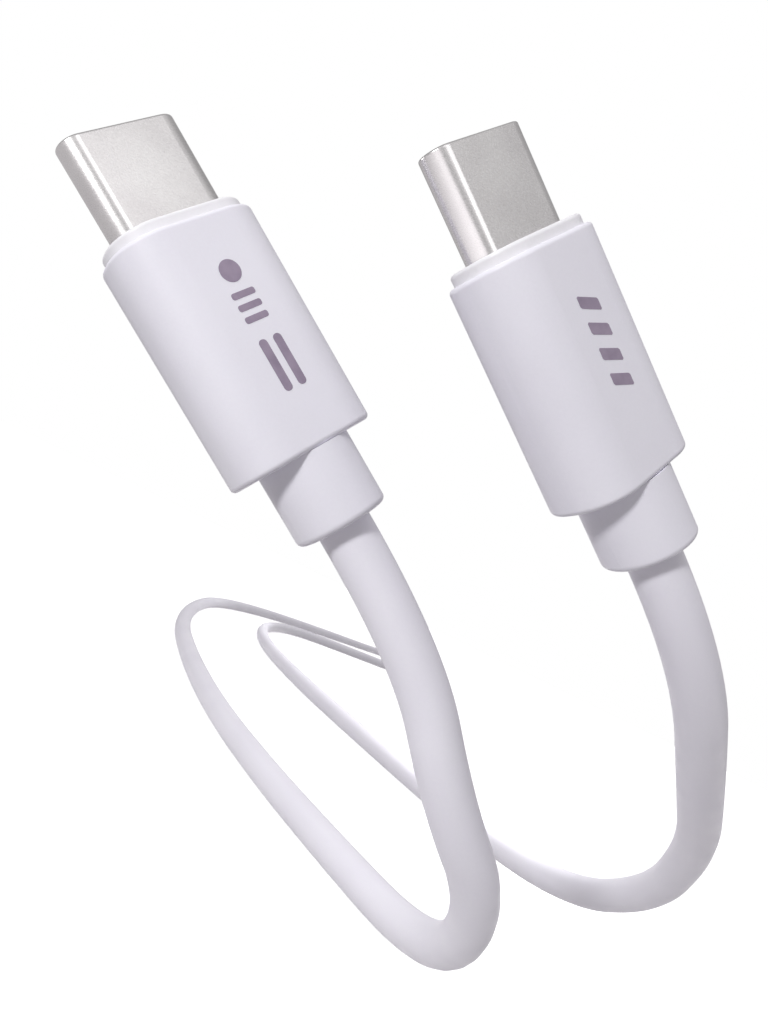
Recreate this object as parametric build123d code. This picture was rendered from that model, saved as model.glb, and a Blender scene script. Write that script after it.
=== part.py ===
from build123d import *
import math
import os

# Charging cable: one jacketed cord with an identical flat reversible plug on each end.
# Millimetres, +Z up. The cord's loop lies on the plane Z = 0 and both ends rise to the plugs.
# Origin: centre of the whole cable's box in X and Y, at the level of the surface it lies on.

# ---- driving dimensions -------------------------------------------------------------
CORD_D = 3.8            # jacket diameter
CORE_D = 2.7            # braided shield bundle inside the jacket

SHELL_W = 8.25          # steel plug shell, the standard plug's width
SHELL_H = 2.40          # and height
SHELL_T = 0.28          # sheet thickness
SHELL_OUT = 6.65        # length that stands out of the collar

COLLAR_W, COLLAR_H, COLLAR_R, COLLAR_L = 9.8, 5.8, 2.7, 0.75
HOUSE_W, HOUSE_H, HOUSE_R, HOUSE_L = 10.6, 6.6, 3.0, 15.6
CAV_W, CAV_H, CAV_R = 9.0, 5.0, 2.3     # the space inside the housing
RELIEF_D, RELIEF_L = 6.6, 5.2           # strain relief sleeve
NECK_D = 5.2                            # its neck through the housing's rear wall

CAN_W, CAN_H, CAN_R, CAN_T = 8.0, 3.6, 0.6, 0.15    # shielding can round the circuit board
PCB_W, PCB_L, PCB_T = 7.2, 6.2, 0.8

PIN_PITCH, PIN_W, PIN_T, PIN_COUNT = 0.5, 0.24, 0.12, 12
TONGUE_HALF_W, TONGUE_HALF_H = 3.40, 0.40   # room for the socket's tongue, 6.69 x 0.70

# stations along a plug's own axis, measured from the face where the cord leaves it
Z_HOUSE0 = RELIEF_L
Z_HOUSE1 = Z_HOUSE0 + HOUSE_L
Z_COLLAR = Z_HOUSE1 + COLLAR_L
Z_TIP = Z_COLLAR + SHELL_OUT
Z_WALL = Z_HOUSE0 + 1.0         # inner face of the housing's rear wall
Z_CAN0 = 8.2                    # rear face of the can
Z_CAN1 = 18.6                   # front face of the can, back of the collar piece
Z_PCB0 = 11.0
Z_INS0 = Z_PCB0 + PCB_L         # the insulator starts at the board's front edge
Z_INS1 = Z_TIP - 0.30
Z_PIVOT = 21.6                  # root of the contact beams
Z_LATCH = 21.2                  # root of the side latches

# plug frames in the cable's frame: cord exit, axis towards the tip, width axis
SX, SY = 14.69, 268.54         # moves the cable's centre to the origin
PLUGS = {
    "a": ((-2.13 - SX, 52.84 - SY, 31.87), (-0.82045, -0.17056, 0.54568), (-0.41572, -0.47724, -0.77422)),
    "b": ((16.96 - SX, 52.16 - SY, 39.15), (-0.78228, -0.23691, 0.57611), (-0.43319, -0.45772, -0.77643)),
}

# the cord's route from plug a's exit to plug b's: corners of straight runs joined by arcs
ROUTE = [
    (-2.13, 52.84, 31.87),
    (6.50, 54.63, 26.13),
    (12.98, 56.03, 17.82),
    (17.82, 60.31, 13.26),
    (21.58, 67.54, 8.03),
    (19.68, 78.52, 1.90),
    (10.43, 89.14, 1.90),
    (3.34, 100.33, 1.90),
    (-7.28, 120.98, 1.90),
    (-21.71, 157.72, 1.90),
    (-34.12, 205.50, 1.90),
    (-41.62, 257.79, 1.90),
    (-43.52, 309.72, 1.90),
    (-31.84, 359.47, 1.90),
    (-11.43, 403.97, 1.90),
    (9.40, 441.08, 1.90),
    (24.50, 466.50, 1.90),
    (34.00, 486.00, 1.90),
    (46.20, 492.80, 1.90),
    (60.10, 491.10, 1.90),
    (70.30, 481.50, 1.90),
    (73.00, 467.80, 1.90),
    (64.50, 447.50, 1.90),
    (44.79, 414.00, 1.90),
    (14.79, 382.12, 1.90),
    (-13.94, 348.93, 1.90),
    (-22.28, 304.05, 1.90),
    (-17.33, 256.13, 1.90),
    (-2.78, 210.40, 1.90),
    (10.00, 169.39, 1.90),
    (36.53, 130.38, 1.90),
    (41.15, 103.36, 5.94),
    (40.78, 81.87, 13.59),
    (36.99, 69.74, 22.16),
    (30.65, 61.46, 25.82),
    (25.44, 54.72, 32.90),
    (16.96, 52.16, 39.15),
]
ROUTE = [(x - SX, y - SY, z) for x, y, z in ROUTE]


# ---- helpers, in a plug's own frame: X width, Y across the broad faces, Z to the tip ----
def bar(w, h, r, z0, z1):
    """A rounded rectangular prism from z0 to z1."""
    return Pos(0, 0, z0) * extrude(RectangleRounded(w, h, r), z1 - z0)


def oval(w, h, z0, z1):
    """A prism with fully round narrow sides."""
    return Pos(0, 0, z0) * extrude(SlotOverall(w, h), z1 - z0)


def rod(d, z0, z1, x=0.0, y=0.0):
    return Pos(x, y, z0) * Cylinder(d / 2, z1 - z0, align=(Align.CENTER, Align.CENTER, Align.MIN))


def block(x0, x1, y0, y1, z0, z1):
    return Pos((x0 + x1) / 2, (y0 + y1) / 2, (z0 + z1) / 2) * Box(x1 - x0, y1 - y0, z1 - z0)


def group(items):
    return Compound(children=[i if isinstance(i, Solid) else i.solid() for i in items])


def plug_parts():
    p = {}
    # steel shell: a seamless oval tube with a slightly rounded mouth
    shell = oval(SHELL_W, SHELL_H, Z_CAN1, Z_TIP)
    shell = fillet(shell.faces().sort_by(Axis.Z)[-1].edges(), 0.16)
    p["steel_shell"] = shell - oval(SHELL_W - 2 * SHELL_T, SHELL_H - 2 * SHELL_T, Z_CAN1 - 1, Z_TIP + 1)

    # insulator inside the shell, with the tongue's room, contact slots and side latch slots
    iw, ih = SHELL_W - 2 * SHELL_T, SHELL_H - 2 * SHELL_T
    ins = oval(iw, ih, Z_INS0, Z_INS1)
    ins -= block(-TONGUE_HALF_W, TONGUE_HALF_W, -TONGUE_HALF_H, TONGUE_HALF_H, 21.4, Z_INS1 + 1)
    for s in (1, -1):
        y0, y1 = sorted((s * TONGUE_HALF_H, s * 0.78))
        ins -= block(-3.0, 3.0, y0, y1, Z_INS0 - 1, 27.3)
        y0, y1 = sorted((s * 0.70, s * 1.0))
        ins -= block(-2.35, 2.35, y0, y1, 21.9, 24.1)
        x0, x1 = sorted((s * TONGUE_HALF_W, s * 4.2))
        ins -= block(x0, x1, -0.47, 0.47, 20.9, 27.3)
    p["insulator"] = ins

    # contact beams (the part that flexes) and their fixed tails on the board
    xs = [(i - (PIN_COUNT - 1) / 2) * PIN_PITCH for i in range(PIN_COUNT)]
    for name, s in (("upper", 1), ("lower", -1)):
        beams, tails = [], []
        for x in xs:
            y0, y1 = sorted((s * 0.44, s * (0.44 + PIN_T)))
            d0, d1 = sorted((s * 0.28, s * 0.50))
            beam = block(x - PIN_W / 2, x + PIN_W / 2, y0, y1, Z_PIVOT, 26.7)
            beam += block(x - PIN_W / 2, x + PIN_W / 2, d0, d1, 26.0, 26.7)
            beams.append(beam)
            t0, t1 = sorted((s * 0.40, s * (0.40 + PIN_T)))
            tails.append(block(x - PIN_W / 2, x + PIN_W / 2, t0, t1, 15.8, 21.0))
        p["contacts_" + name] = group(beams)
        p["contact_tails_" + name] = group(tails)
        y0, y1 = sorted((s * 0.80, s * 0.90))
        p["ground_spring_" + name] = block(-2.30, 2.30, y0, y1, 22.0, 24.0)

    # side latches: thin arms with an inward hook at the free end
    for name, s in (("left", 1), ("right", -1)):
        x0, x1 = sorted((s * 3.43, s * 3.57))
        h0, h1 = sorted((s * 3.15, s * 3.50))
        arm = block(x0, x1, -0.35, 0.35, Z_LATCH, 26.8)
        p["latch_" + name] = arm + block(h0, h1, -0.35, 0.35, 26.2, 26.8)

    # circuit board, its marker chip and chip capacitors
    p["circuit_board"] = block(-PCB_W / 2, PCB_W / 2, -PCB_T / 2, PCB_T / 2, Z_PCB0, Z_INS0)
    p["marker_chip"] = block(-1.0, 1.0, 0.4, 1.0, 13.0, 15.0)
    p["chip_capacitors"] = group([
        block(1.9, 2.4, 0.4, 0.85, 13.2, 14.2),
        block(-2.4, -1.9, 0.4, 0.85, 13.2, 14.2),
        block(-0.25, 0.25, -0.85, -0.4, 13.2, 14.2),
    ])

    # conductors from the bundle to the board's pads
    p["wire_ends"] = group([rod(0.5, 9.8, 12.4, x, 0.66) for x in (-0.62, 0.0, 0.62)]
                           + [rod(0.5, 9.8, 12.4, x, -0.66) for x in (-0.35, 0.35)])

    # shielding can, two half boxes that meet at mid height, and the ring crimped on the bundle
    can = bar(CAN_W, CAN_H, CAN_R, Z_CAN0, Z_CAN1)
    can -= bar(CAN_W - 2 * CAN_T, CAN_H - 2 * CAN_T, CAN_R - CAN_T, Z_CAN0 + CAN_T, Z_CAN1 + 1)
    can -= rod(CORE_D + 0.2, Z_CAN0 - 1, Z_CAN0 + 1)
    p["shield_can_upper"] = can - block(-9, 9, -9, 0, 0, 40)
    p["shield_can_lower"] = can - block(-9, 9, 0, 9, 0, 40)
    p["crimp_ring"] = rod(3.2, 8.5, 9.5) - rod(CORE_D, 8, 10)

    # the cord's own end inside the relief: jacket, then the bared bundle
    p["cord_end"] = rod(CORD_D, 0, Z_CAN0) + rod(CORE_D, Z_CAN0 - 0.5, 9.8)

    # inner mould that fills the housing round the can
    mold = bar(CAV_W, CAV_H, CAV_R, Z_WALL, Z_CAN1)
    mold -= bar(CAN_W, CAN_H, CAN_R, Z_CAN0, Z_CAN1 + 1)
    p["inner_mold"] = mold - rod(CORD_D, 0, Z_CAN0 + 1)

    # front collar: a thin visible plate and the block that holds the shell
    plate = bar(COLLAR_W, COLLAR_H, COLLAR_R, Z_HOUSE1, Z_COLLAR)
    plate = fillet(plate.faces().sort_by(Axis.Z)[-1].edges(), 0.25)
    p["front_collar"] = plate + bar(CAV_W, CAV_H, CAV_R, Z_CAN1, Z_HOUSE1) - oval(SHELL_W, SHELL_H, 10, 40)

    # housing: the visible sleeve, softened at both ends
    house = bar(HOUSE_W, HOUSE_H, HOUSE_R, Z_HOUSE0, Z_HOUSE1)
    house = fillet(house.faces().sort_by(Axis.Z)[-1].edges(), 0.30)
    house = fillet(house.faces().sort_by(Axis.Z)[0].edges(), 0.35)
    house -= bar(CAV_W, CAV_H, CAV_R, Z_WALL, Z_HOUSE1 + 1)
    p["housing"] = house - rod(NECK_D, Z_HOUSE0 - 1, Z_WALL + 1)

    # strain relief: a round sleeve with a neck through the housing's rear wall
    relief = rod(RELIEF_D, 0, Z_HOUSE0)
    relief = fillet(relief.faces().sort_by(Axis.Z)[0].edges(), 0.45)
    p["strain_relief"] = relief + rod(NECK_D, Z_HOUSE0 - 0.5, Z_WALL) - rod(CORD_D, -1, 20)
    return p


def turn_between(a, b, c):
    u, v = Vector(*b) - Vector(*a), Vector(*c) - Vector(*b)
    return math.radians(u.get_angle(v)), u.length, v.length


os.makedirs("parts", exist_ok=True)

parts = plug_parts()
for side, (exit_at, axis, width) in PLUGS.items():
    place = Plane(origin=exit_at, x_dir=width, z_dir=axis).location
    for name, shape in parts.items():
        export_step(place * shape, "parts/plug_%s_%s.step" % (side, name))

# the cord: straight runs and tangent arcs, each arc as large as its two runs allow
radii = []
for a, b, c in zip(ROUTE, ROUTE[1:], ROUTE[2:]):
    turn, l1, l2 = turn_between(a, b, c)
    radii.append(0.45 * min(l1, l2) / math.tan(turn / 2))
path = FilletPolyline(*ROUTE, radius=radii)
start = Plane(origin=ROUTE[0], z_dir=Vector(*ROUTE[1]) - Vector(*ROUTE[0]))
cord = sweep(start * Circle(CORD_D / 2), path=path)
export_step(cord, "parts/cord.step")

section = math.pi * CORD_D ** 2 / 4
print("cord radii", [round(r, 1) for r in radii], "least", round(min(radii), 1))
print("cord length", round(path.length, 1), "volume ratio", round(cord.volume / (section * path.length), 5))
b = cord.bounding_box()
print("cord box", b.min, b.max)
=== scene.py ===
import bpy, bmesh, math
from mathutils import Matrix, Vector


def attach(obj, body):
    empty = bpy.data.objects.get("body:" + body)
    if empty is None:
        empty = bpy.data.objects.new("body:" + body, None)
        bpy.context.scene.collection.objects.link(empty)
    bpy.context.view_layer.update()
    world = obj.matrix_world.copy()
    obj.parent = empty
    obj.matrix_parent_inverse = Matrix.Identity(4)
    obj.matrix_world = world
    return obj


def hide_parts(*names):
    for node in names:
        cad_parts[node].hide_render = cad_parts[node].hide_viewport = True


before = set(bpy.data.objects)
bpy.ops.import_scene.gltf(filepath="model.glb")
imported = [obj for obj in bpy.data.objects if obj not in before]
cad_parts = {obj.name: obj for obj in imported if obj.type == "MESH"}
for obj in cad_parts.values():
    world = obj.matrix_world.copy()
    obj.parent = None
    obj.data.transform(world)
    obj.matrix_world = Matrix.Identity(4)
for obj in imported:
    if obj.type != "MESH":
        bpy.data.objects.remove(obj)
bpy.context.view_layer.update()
SX, SY = 14.69, 268.54


def V(x, y, z):
    """A point of the cable's route or a plug's frame, millimetres to metres in the row frame."""
    return Vector(((x - SX) / 1000, (y - SY) / 1000, z / 1000))


PLUGS = {
    "a": (V(-2.13, 52.84, 31.87), Vector((-0.82045, -0.17056, 0.54568)), Vector((-0.41572, -0.47724, -0.77422))),
    "b": (V(16.96, 52.16, 39.15), Vector((-0.78228, -0.23691, 0.57611)), Vector((-0.43319, -0.45772, -0.77643))),
}


def plug_matrix(side):
    """A plug's own frame: X its width, Y across the broad faces, Z to the tip, origin where the cord leaves."""
    o, a, w = PLUGS[side]
    a = a.normalized()
    w = (w - a * w.dot(a)).normalized()
    b = a.cross(w)
    m = Matrix.Identity(4)
    for i, v in enumerate((w, b, a)):
        m[0][i], m[1][i], m[2][i] = v
    m.translation = o
    return m


# ------------------------------------------------------------------ camera
cam_data = bpy.data.cameras.new("Camera")
cam_data.sensor_fit = "VERTICAL"
cam_data.sensor_height = 36.0
cam_data.lens = 800.0 / 1024.0 * 36.0
cam_data.clip_start = 0.002
cam_data.clip_end = 50.0
camera = bpy.data.objects.new("Camera", cam_data)
bpy.context.scene.collection.objects.link(camera)
right = Vector((0.90086, -0.04547, 0.43172))
down = Vector((0.43411, 0.09436, -0.89591))
ahead = Vector((0.0, 0.9945, 0.10474))
cm = Matrix.Identity(4)
for i, v in enumerate((right, -down, -ahead)):
    cm[0][i], cm[1][i], cm[2][i] = v
cm.translation = V(0, 0, 28.19)
camera.matrix_world = cm
bpy.context.scene.camera = camera

# ------------------------------------------------------------------ materials


def new_mat(name):
    m = bpy.data.materials.new(name)
    m.use_nodes = True
    nt = m.node_tree
    return m, nt, nt.nodes["Principled BSDF"]


def noise(nt, coord, scale, detail=3.0, rough=0.5, stretch=None):
    n = nt.nodes.new("ShaderNodeTexNoise")
    n.inputs["Scale"].default_value = scale
    n.inputs["Detail"].default_value = detail
    n.inputs["Roughness"].default_value = rough
    src = coord
    if stretch is not None:
        mp = nt.nodes.new("ShaderNodeMapping")
        mp.inputs["Rotation"].default_value = stretch[0]
        mp.inputs["Scale"].default_value = stretch[1]
        nt.links.new(coord, mp.inputs["Vector"])
        src = mp.outputs["Vector"]
    nt.links.new(src, n.inputs["Vector"])
    return n.outputs["Fac"]


def ramp(nt, fac, stops):
    r = nt.nodes.new("ShaderNodeValToRGB")
    el = r.color_ramp.elements
    while len(el) < len(stops):
        el.new(0.5)
    for e, (p, c) in zip(el, stops):
        e.position = p
        e.color = (*c, 1.0)
    nt.links.new(fac, r.inputs["Fac"])
    return r.outputs["Color"]


def rng(nt, fac, lo, hi, a=0.3, b=0.7):
    r = nt.nodes.new("ShaderNodeMapRange")
    r.inputs["From Min"].default_value = a
    r.inputs["From Max"].default_value = b
    r.inputs["To Min"].default_value = lo
    r.inputs["To Max"].default_value = hi
    nt.links.new(fac, r.inputs["Value"])
    return r.outputs["Result"]


def bump(nt, heights, bsdf):
    """heights: list of (socket, strength, distance)."""
    last = None
    for h, s, d in heights:
        b = nt.nodes.new("ShaderNodeBump")
        b.inputs["Strength"].default_value = s
        b.inputs["Distance"].default_value = d
        nt.links.new(h, b.inputs["Height"])
        if last is not None:
            nt.links.new(last, b.inputs["Normal"])
        last = b.outputs["Normal"]
    nt.links.new(last, bsdf.inputs["Normal"])


def plastic(name, lo, hi, r0, r1, grain, grain_amt, sss=0.0, coat=0.0):
    m, nt, bs = new_mat(name)
    tc = nt.nodes.new("ShaderNodeTexCoord").outputs["Object"]
    broad = noise(nt, tc, 90.0, 2.0)
    fine = noise(nt, tc, grain, 3.0, 0.6)
    mid = noise(nt, tc, 700.0, 3.0)
    mixed = nt.nodes.new("ShaderNodeMath")
    mixed.operation = "MULTIPLY_ADD"
    nt.links.new(fine, mixed.inputs[0])
    mixed.inputs[1].default_value = 0.35
    nt.links.new(broad, mixed.inputs[2])
    nt.links.new(ramp(nt, mixed.outputs[0], [(0.45, lo), (0.85, hi)]), bs.inputs["Base Color"])
    nt.links.new(rng(nt, mid, r0, r1), bs.inputs["Roughness"])
    bs.inputs["IOR"].default_value = 1.46
    bs.inputs["Specular IOR Level"].default_value = 0.42
    if sss:
        bs.inputs["Subsurface Weight"].default_value = sss
        bs.inputs["Subsurface Radius"].default_value = (1.0, 0.9, 1.05)
        bs.inputs["Subsurface Scale"].default_value = 0.0006
    if coat:
        bs.inputs["Coat Weight"].default_value = coat
        bs.inputs["Coat Roughness"].default_value = 0.25
    bump(nt, [(fine, grain_amt, 0.00002), (mid, 0.10, 0.00003)], bs)
    return m


def metal(name, col_lo, col_hi, r0, r1, axis_rot=(0, 0, 0), stretch=(1, 1, 14), fine=5200.0, amt=0.25):
    m, nt, bs = new_mat(name)
    tc = nt.nodes.new("ShaderNodeTexCoord").outputs["Object"]
    streak = noise(nt, tc, fine, 3.0, 0.6, (axis_rot, stretch))
    cloud = noise(nt, tc, 260.0, 3.0)
    bs.inputs["Metallic"].default_value = 1.0
    nt.links.new(ramp(nt, cloud, [(0.3, col_lo), (0.7, col_hi)]), bs.inputs["Base Color"])
    nt.links.new(rng(nt, streak, r0, r1), bs.inputs["Roughness"])
    bump(nt, [(streak, amt, 0.000006), (cloud, 0.06, 0.00002)], bs)
    return m


HOUSE = plastic("white_housing", (0.800, 0.784, 0.858), (0.842, 0.828, 0.900), 0.36, 0.50, 5200.0, 0.16, sss=0.06)
COLLAR = plastic("white_collar", (0.82, 0.81, 0.85), (0.86, 0.85, 0.88), 0.30, 0.42, 6000.0, 0.10, sss=0.06)
JACKET = plastic("white_cord", (0.848, 0.830, 0.905), (0.886, 0.870, 0.940), 0.40, 0.56, 4200.0, 0.22, sss=0.08)
MOLD = plastic("inner_mold", (0.66, 0.66, 0.63), (0.74, 0.74, 0.71), 0.5, 0.65, 3500.0, 0.3)
INSUL = plastic("black_insulator", (0.018, 0.018, 0.020), (0.032, 0.032, 0.036), 0.38, 0.55, 5200.0, 0.2)
CHIP = plastic("chip_black", (0.020, 0.020, 0.021), (0.040, 0.040, 0.040), 0.55, 0.75, 7000.0, 0.4)
CAP = plastic("capacitor_tan", (0.36, 0.24, 0.14), (0.46, 0.32, 0.20), 0.4, 0.55, 7000.0, 0.3)
BOARD = plastic("board_green", (0.012, 0.085, 0.035), (0.020, 0.125, 0.055), 0.28, 0.42, 4200.0, 0.25, coat=0.4)
# the shell's brushing runs round the tube, so it is stretched along each plug's own width
STEEL = metal("plug_steel", (0.66, 0.645, 0.645), (0.74, 0.73, 0.725), 0.20, 0.34, (0.6, -0.5, 0.9), (1, 1, 10))
SPRING = metal("spring_steel", (0.46, 0.45, 0.44), (0.56, 0.55, 0.54), 0.26, 0.40)
CAN = metal("can_steel", (0.50, 0.50, 0.49), (0.60, 0.60, 0.59), 0.34, 0.50)
GOLD = metal("gold_contacts", (0.78, 0.52, 0.17), (0.88, 0.62, 0.25), 0.18, 0.30)
COPPER = metal("copper_wire", (0.62, 0.32, 0.17), (0.74, 0.42, 0.24), 0.28, 0.42)
CRIMP = metal("copper_crimp", (0.64, 0.36, 0.19), (0.72, 0.44, 0.26), 0.32, 0.46)

# printed ink: grey purple, slightly broken where it sits on the grain
INK, _nt, _bs = new_mat("print_ink")
_tc = _nt.nodes.new("ShaderNodeTexCoord").outputs["Object"]
_f = noise(_nt, _tc, 6500.0, 3.0, 0.65)
_b = noise(_nt, _tc, 900.0, 2.0)
_nt.links.new(ramp(_nt, _b, [(0.3, (0.255, 0.205, 0.285)), (0.7, (0.330, 0.270, 0.360))]), _bs.inputs["Base Color"])
_nt.links.new(rng(_nt, _f, 0.42, 0.62), _bs.inputs["Roughness"])
bump(_nt, [(_f, 0.2, 0.000008)], _bs)

MATS = {
    "housing": HOUSE, "strain_relief": HOUSE, "front_collar": COLLAR, "steel_shell": STEEL, "insulator": INSUL,
    "contacts_upper": GOLD, "contacts_lower": GOLD, "contact_tails_upper": GOLD, "contact_tails_lower": GOLD,
    "latch_left": SPRING, "latch_right": SPRING, "ground_spring_upper": SPRING, "ground_spring_lower": SPRING,
    "circuit_board": BOARD, "marker_chip": CHIP, "chip_capacitors": CAP, "wire_ends": COPPER,
    "shield_can_upper": CAN, "shield_can_lower": CAN, "crimp_ring": CRIMP, "cord_end": JACKET, "inner_mold": MOLD,
}


def node_object(name):
    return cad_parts[name]


def set_mat(obj, mat):
    if obj.data.materials:
        for i in range(len(obj.data.materials)):
            obj.material_slots[i].link = "OBJECT"
            obj.material_slots[i].material = mat
    else:
        obj.data.materials.append(mat)


for side in "ab":
    for part, mat in MATS.items():
        set_mat(node_object("plug_%s_%s" % (side, part)), mat)

# ------------------------------------------------------------------ the cord
ROUTE = [
    (-2.13, 52.84, 31.87), (6.28, 54.59, 26.28), (12.79, 57.03, 17.75), (18.95, 61.12, 11.98), (20.94, 68.15, 5.34),
    (18.87, 77.42, 1.90), (11.26, 89.47, 1.90), (1.04, 106.37, 2.07), (-10.28, 130.40, 1.90), (-22.07, 163.21, 1.90),
    (-34.12, 205.50, 1.90), (-41.62, 257.79, 1.90), (-43.52, 309.72, 1.90), (-31.84, 359.47, 1.90),
    (-11.43, 403.97, 1.90), (9.40, 441.08, 1.90), (24.50, 466.50, 1.90), (34.00, 486.00, 1.90), (46.20, 492.80, 1.90),
    (60.10, 491.10, 1.90), (70.30, 481.50, 1.90), (73.00, 467.80, 1.90), (64.50, 447.50, 1.90), (44.79, 414.00, 1.90),
    (14.79, 382.12, 1.90), (-13.94, 348.93, 1.90), (-22.28, 304.05, 1.90), (-17.33, 256.13, 1.90),
    (-1.93, 209.12, 1.90), (17.72, 167.16, 1.90), (34.75, 133.46, 1.90), (44.29, 109.16, 4.54), (45.99, 92.24, 11.90),
    (41.57, 78.78, 20.19), (33.09, 65.96, 26.07), (23.95, 54.28, 34.00), (16.96, 52.16, 39.15),
]
cu = bpy.data.curves.new("cord_jacket", "CURVE")
cu.dimensions = "3D"
sp = cu.splines.new("NURBS")
sp.points.add(len(ROUTE) - 1)
for pt, xyz in zip(sp.points, ROUTE):
    pt.co = (*V(*xyz), 1.0)
sp.order_u = 3
sp.use_endpoint_u = True
sp.resolution_u = 14
cu.bevel_depth = 0.0019
cu.bevel_resolution = 8
cu.use_fill_caps = True
cord = bpy.data.objects.new("cord_jacket", cu)
bpy.context.scene.collection.objects.link(cord)
cu.materials.append(JACKET)
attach(cord, "cable")
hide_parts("cord")


# ------------------------------------------------------------------ printed marks
def flat_piece(name, outlines, z_of, thick, mat, side, slot):
    """Thin raised shapes on a plug's broad face. outlines: lists of (x, z) in millimetres."""
    bm = bmesh.new()
    for pts in outlines:
        low = [bm.verts.new((x / 1000, z_of / 1000, z / 1000)) for x, z in pts]
        top = [bm.verts.new((x / 1000, (z_of + thick) / 1000, z / 1000)) for x, z in pts]
        n = len(pts)
        bm.faces.new(low)
        bm.faces.new(top[::-1])
        for i in range(n):
            bm.faces.new((low[i], top[i], top[(i + 1) % n], low[(i + 1) % n]))
    bmesh.ops.recalc_face_normals(bm, faces=bm.faces)
    me = bpy.data.meshes.new(name)
    bm.to_mesh(me)
    bm.free()
    me.transform(plug_matrix(side))
    ob = bpy.data.objects.new(name, me)
    bpy.context.scene.collection.objects.link(ob)
    me.materials.append(mat)
    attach(ob, "cable")
    return ob


def round_rect(cx, cz, w, h, r, n=6):
    pts = []
    for k, (sx, sz) in enumerate(((1, 1), (-1, 1), (-1, -1), (1, -1))):
        for i in range(n + 1):
            t = math.radians(90 * k + 90 * i / n)
            pts.append((cx + sx * (w / 2 - r) + r * math.cos(t), cz + sz * (h / 2 - r) + r * math.sin(t)))
    return pts


def disc(cx, cz, r, n=20):
    return [(cx + r * math.cos(2 * math.pi * i / n), cz + r * math.sin(2 * math.pi * i / n)) for i in range(n)]


FACE_Y = 3.3
XA, XB = -0.15, -0.05


def dash(cx, cz, w, h, slant):
    """A slanted dash: a parallelogram with its corners taken off a little."""
    c = 0.10
    base = [(-w / 2 + c, -h / 2), (w / 2 - c, -h / 2), (w / 2, -h / 2 + c), (w / 2, h / 2 - c),
            (w / 2 - c, h / 2), (-w / 2 + c, h / 2), (-w / 2, h / 2 - c), (-w / 2, -h / 2 + c)]
    return [(cx + x, cz + z + slant * x) for x, z in base]


marks_a = [
    disc(XA, 17.0, 0.74, 28),
    round_rect(XA, 15.45, 1.75, 0.42, 0.16), round_rect(XA, 14.65, 1.75, 0.42, 0.16),
    round_rect(XA, 13.85, 1.75, 0.42, 0.16),
    round_rect(XA - 0.56, 10.75, 0.62, 3.5, 0.28), round_rect(XA + 0.56, 10.75, 0.62, 3.5, 0.28),
]
print_a = flat_piece("plug_a_print", marks_a, FACE_Y, 0.015, INK, "a", None)
marks_b = [dash(XB, z, 1.75, 0.78, 0.38) for z in (16.45, 14.8, 13.15, 11.5)]
print_b = flat_piece("plug_b_print", marks_b, FACE_Y, 0.015, INK, "b", None)

# ------------------------------------------------------------------ floor and light
def plane(name, x0, x1, y0, y1, z):
    me = bpy.data.meshes.new(name)
    me.from_pydata([(x0, y0, z), (x1, y0, z), (x1, y1, z), (x0, y1, z)], [], [(0, 1, 2, 3)])
    ob = bpy.data.objects.new(name, me)
    bpy.context.scene.collection.objects.link(ob)
    return ob


SOFT_BASE = 0.27                          # what lights the plastic
SOFT_LOBES = (
    ((-0.50, -0.20, 0.84), 2.0, 0.64),    # up and towards the tips
    ((0.42, 0.48, 0.77), 2.5, 0.62),      # up and behind on the right
)
GLOSS_BASE = 0.42                         # what the steel mirrors
GLOSS_LOBES = (
    ((0.15, -0.60, 0.79), 5.0, 0.44),     # what the left shell's flat face looks at
    ((0.189, -0.714, 0.674), 150.0, 3.4),    # narrow strips for the line beside each shell's flat face
    ((0.527, -0.561, 0.639), 150.0, 3.4),
)
KEY_FROM = (-0.52, -0.84, 0.12)
KEY_REACH = 0.22
KEY_WATTS = 0.30
floor = plane("floor", -30, 30, -30, 30, 0.0)
fm, fnt, fbs = new_mat("floor_pale")
fbs.inputs["Base Color"].default_value = (0.93, 0.93, 0.94, 1.0)
fbs.inputs["Roughness"].default_value = 0.9
fbs.inputs["Specular IOR Level"].default_value = 0.1
fbs.inputs["Emission Color"].default_value = (1.0, 1.0, 1.0, 1.0)
fbs.inputs["Emission Strength"].default_value = 0.62
floor.data.materials.append(fm)
floor.visible_diffuse = False
floor.visible_glossy = False
floor.visible_shadow = False



def bounce_floor(name, lo, hi, diffuse):
    """What the floor gives back to the object, a little darker under the left plug; it isn't seen itself."""
    ob = plane(name, -30, 30, -30, 30, -0.0002 if diffuse else -0.0004)
    m = bpy.data.materials.new(name)
    m.use_nodes = True
    nt = m.node_tree
    for n in list(nt.nodes):
        if n.type != "OUTPUT_MATERIAL":
            nt.nodes.remove(n)
    em = nt.nodes.new("ShaderNodeEmission")
    sep = nt.nodes.new("ShaderNodeSeparateXYZ")
    nt.links.new(nt.nodes.new("ShaderNodeTexCoord").outputs["Object"], sep.inputs[0])
    mr = nt.nodes.new("ShaderNodeMapRange")
    mr.interpolation_type = "SMOOTHSTEP"
    mr.inputs["From Min"].default_value = -0.085
    mr.inputs["From Max"].default_value = -0.030
    mr.inputs["To Min"].default_value = lo
    mr.inputs["To Max"].default_value = hi
    nt.links.new(sep.outputs["X"], mr.inputs["Value"])
    nt.links.new(mr.outputs[0], em.inputs["Strength"])
    em.inputs["Color"].default_value = (1.0, 0.965, 0.99, 1.0)
    nt.links.new(em.outputs[0], nt.nodes["Material Output"].inputs["Surface"])
    ob.data.materials.append(m)
    ob.visible_camera = False
    ob.visible_shadow = False
    ob.visible_diffuse = diffuse
    ob.visible_glossy = not diffuse


bounce_floor("floor_bounce", 0.22, 0.30, True)
bounce_floor("floor_shine", 0.60, 1.45, False)

world = bpy.data.worlds.new("World")
bpy.context.scene.world = world
world.use_nodes = True
wn = world.node_tree
bg = wn.nodes["Background"]
wo = wn.nodes["World Output"]
tcw = wn.nodes.new("ShaderNodeTexCoord")


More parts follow.
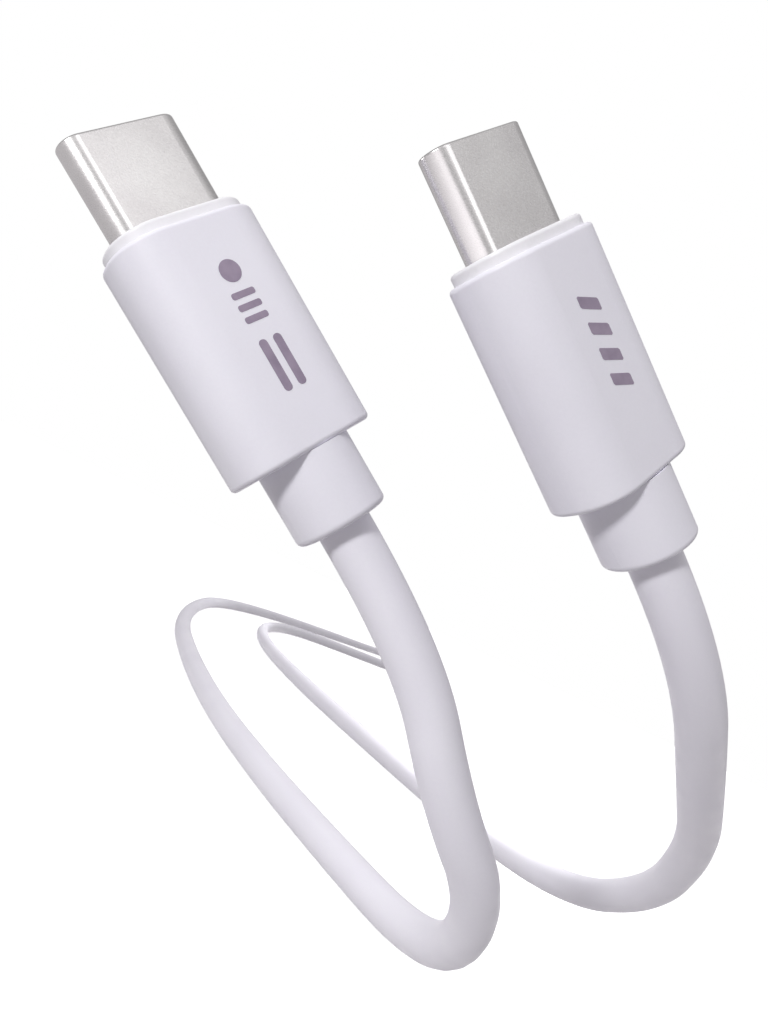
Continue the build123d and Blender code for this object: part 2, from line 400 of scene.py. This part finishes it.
def lobe(direction, power, gain):
    """One soft light in the room: gain at its middle, falling off with the angle from it."""
    d = Vector(direction).normalized()
    dp = wn.nodes.new("ShaderNodeVectorMath")
    dp.operation = "DOT_PRODUCT"
    wn.links.new(tcw.outputs["Generated"], dp.inputs[0])
    dp.inputs[1].default_value = d
    mx = wn.nodes.new("ShaderNodeMath")
    mx.operation = "MAXIMUM"
    wn.links.new(dp.outputs["Value"], mx.inputs[0])
    mx.inputs[1].default_value = 0.0
    pw = wn.nodes.new("ShaderNodeMath")
    pw.operation = "POWER"
    wn.links.new(mx.outputs[0], pw.inputs[0])
    pw.inputs[1].default_value = power
    ml = wn.nodes.new("ShaderNodeMath")
    ml.operation = "MULTIPLY"
    wn.links.new(pw.outputs[0], ml.inputs[0])
    ml.inputs[1].default_value = gain
    return ml.outputs[0]


def room(base, lobes):
    """A background: an even level plus the soft lights."""
    total = None
    for args in lobes:
        ad = wn.nodes.new("ShaderNodeMath")
        ad.operation = "ADD"
        wn.links.new(lobe(*args), ad.inputs[0])
        if total is None:
            ad.inputs[1].default_value = base
        else:
            wn.links.new(total, ad.inputs[1])
        total = ad.outputs[0]
    b = wn.nodes.new("ShaderNodeBackground")
    b.inputs["Color"].default_value = (1.0, 0.985, 0.995, 1.0)
    wn.links.new(total, b.inputs["Strength"])
    return b.outputs[0]


# the backdrop itself is plain white; the lobes only light the object
bg.inputs["Color"].default_value = (1.0, 1.0, 1.0, 1.0)
bg.inputs["Strength"].default_value = 1.0
lp = wn.nodes.new("ShaderNodeLightPath")
m1 = wn.nodes.new("ShaderNodeMixShader")
wn.links.new(lp.outputs["Is Glossy Ray"], m1.inputs[0])
wn.links.new(room(SOFT_BASE, SOFT_LOBES), m1.inputs[1])
wn.links.new(room(GLOSS_BASE, GLOSS_LOBES), m1.inputs[2])
m2 = wn.nodes.new("ShaderNodeMixShader")
wn.links.new(lp.outputs["Is Camera Ray"], m2.inputs[0])
wn.links.new(m1.outputs[0], m2.inputs[1])
wn.links.new(bg.outputs[0], m2.inputs[2])
wn.links.new(m2.outputs[0], wo.inputs["Surface"])

key = bpy.data.lights.new("key", "AREA")
key.shape = "DISK"
key.size = 0.034
key.energy = KEY_WATTS
key_o = bpy.data.objects.new("key", key)
bpy.context.scene.collection.objects.link(key_o)
target = Vector((-0.012, -0.212, 0.042))
key_o.location = target + Vector(KEY_FROM).normalized() * KEY_REACH
key_o.rotation_euler = (key_o.location - target).to_track_quat("Z", "Y").to_euler()



def low_light(name, shape, size, watts, place, aim, along=None):
    """A small lamp near the floor, itself unseen."""
    d = bpy.data.lights.new(name, "AREA")
    d.shape = shape
    d.size = size[0]
    if len(size) > 1:
        d.size_y = size[1]
    d.energy = watts
    o = bpy.data.objects.new(name, d)
    bpy.context.scene.collection.objects.link(o)
    z = (Vector(place) - Vector(aim)).normalized()
    y = Vector(along) if along else Vector((0.0, 1.0, 0.0))
    y = (y - z * y.dot(z)).normalized()
    x = y.cross(z)
    m = Matrix.Identity(4)
    for i, v in enumerate((x, y, z)):
        m[0][i], m[1][i], m[2][i] = v
    m.translation = Vector(place)
    o.matrix_world = m
    o.visible_camera = False
    o.visible_glossy = False
    return o


low_light("strip_fill", "RECTANGLE", (0.008, 0.20), 0.010, (-0.0085, -0.052, 0.020), (-0.0165, -0.055, 0.002),
          (-0.316, 0.949, 0.0))
low_light("bend_fill", "DISK", (0.020,), 0.008, (0.030, -0.134, 0.030), (0.018, -0.140, 0.002))
key_o.visible_camera = False

bpy.context.scene.view_settings.view_transform = "Standard"
